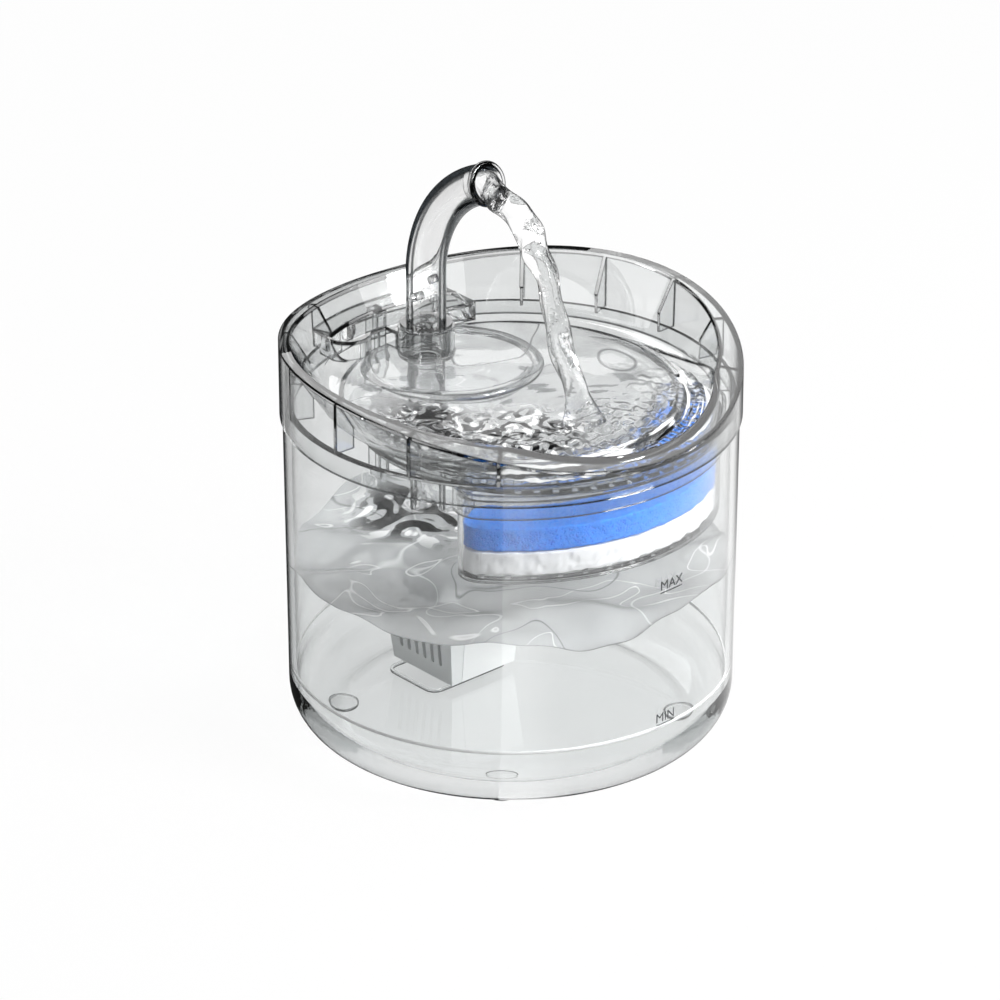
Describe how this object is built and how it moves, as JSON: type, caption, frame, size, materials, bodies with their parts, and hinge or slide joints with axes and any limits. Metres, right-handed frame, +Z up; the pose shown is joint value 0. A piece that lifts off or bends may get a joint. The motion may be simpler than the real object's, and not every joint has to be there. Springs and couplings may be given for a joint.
{
  "type": "pet water fountain",
  "caption": "Round clear pet water fountain with a lift-off drinking tray, a gooseneck spout, a crescent filter case and a submerged pump.",
  "frame": {"origin": "centre of the circle of foot pads, on the surface the fountain stands on", "axes": "+Z up; the low drinking edge faces -Y and the spout stands at +Y; the pump's motor axis lies along X"},
  "size_m": [0.18, 0.18, 0.2321],
  "materials": {
    "tank_plastic": "gloss",
    "foot_pad": "satin",
    "tray_plastic": "gloss",
    "tube_plastic": "gloss",
    "seal_rubber": "satin",
    "spout_plastic": "gloss",
    "case_plastic": "gloss",
    "grid_plastic": "gloss",
    "blue_sponge": "matte",
    "white_cotton": "matte",
    "pump_plastic": "satin",
    "black_rubber": "satin",
    "impeller_plastic": "satin",
    "magnet": "matte",
    "polished_steel": "polished",
    "bearing_ceramic": "satin",
    "core_steel": "satin",
    "copper_coil": "satin",
    "potting_resin": "satin",
    "cup_rubber": "satin",
    "cover_plastic": "satin"
  },
  "bodies": {
    "tank": {"tank": "tank_plastic", "foot_pads": "foot_pad", "pump_housing": "pump_plastic", "volute_cover": "pump_plastic", "volute_seal": "black_rubber", "impeller_shaft": "polished_steel", "front_bush": "bearing_ceramic", "rear_bush": "bearing_ceramic", "stator_core": "core_steel", "stator_coil": "copper_coil", "potting_plug": "potting_resin", "cable_gland": "black_rubber", "suction_cups": "cup_rubber"},
    "rotor": {"impeller": "impeller_plastic", "rotor_magnet": "magnet"},
    "intake_cover": {"pump_cover": "cover_plastic"},
    "tray": {"drinking_tray": "tray_plastic", "connector_tube": "tube_plastic"},
    "bush": {"spout_bush": "seal_rubber"},
    "spout": {"spout": "spout_plastic"},
    "filter": {"filter_case": "case_plastic", "filter_grid": "grid_plastic", "filter_sponge": "blue_sponge", "cotton_pad": "white_cotton"}
  },
  "joints": [
    {"name": "rotor_spin", "type": "hinge", "parent": "tank", "child": "rotor", "pos_m": [0, 0.042, 0.022], "axis": [1, 0, 0], "continuous": true},
    {"name": "cover_pull", "type": "slide", "parent": "tank", "child": "intake_cover", "axis": [-1, 0, 0], "range_m": [0, 0.012]},
    {"name": "tray_lift", "type": "slide", "parent": "tank", "child": "tray", "axis": [0, 0, 1], "range_m": [0, 0.115]},
    {"name": "spout_pull", "type": "slide", "parent": "tray", "child": "bush", "axis": [0, 0, 1], "range_m": [0, 0.02]},
    {"name": "spout_turn", "type": "hinge", "parent": "bush", "child": "spout", "pos_m": [0, 0.05, 0.15], "axis": [0, 0, 1], "continuous": true},
    {"name": "filter_pull", "type": "slide", "parent": "tray", "child": "filter", "axis": [0, 0, -1], "range_m": [0, 0.04]}
  ]
}
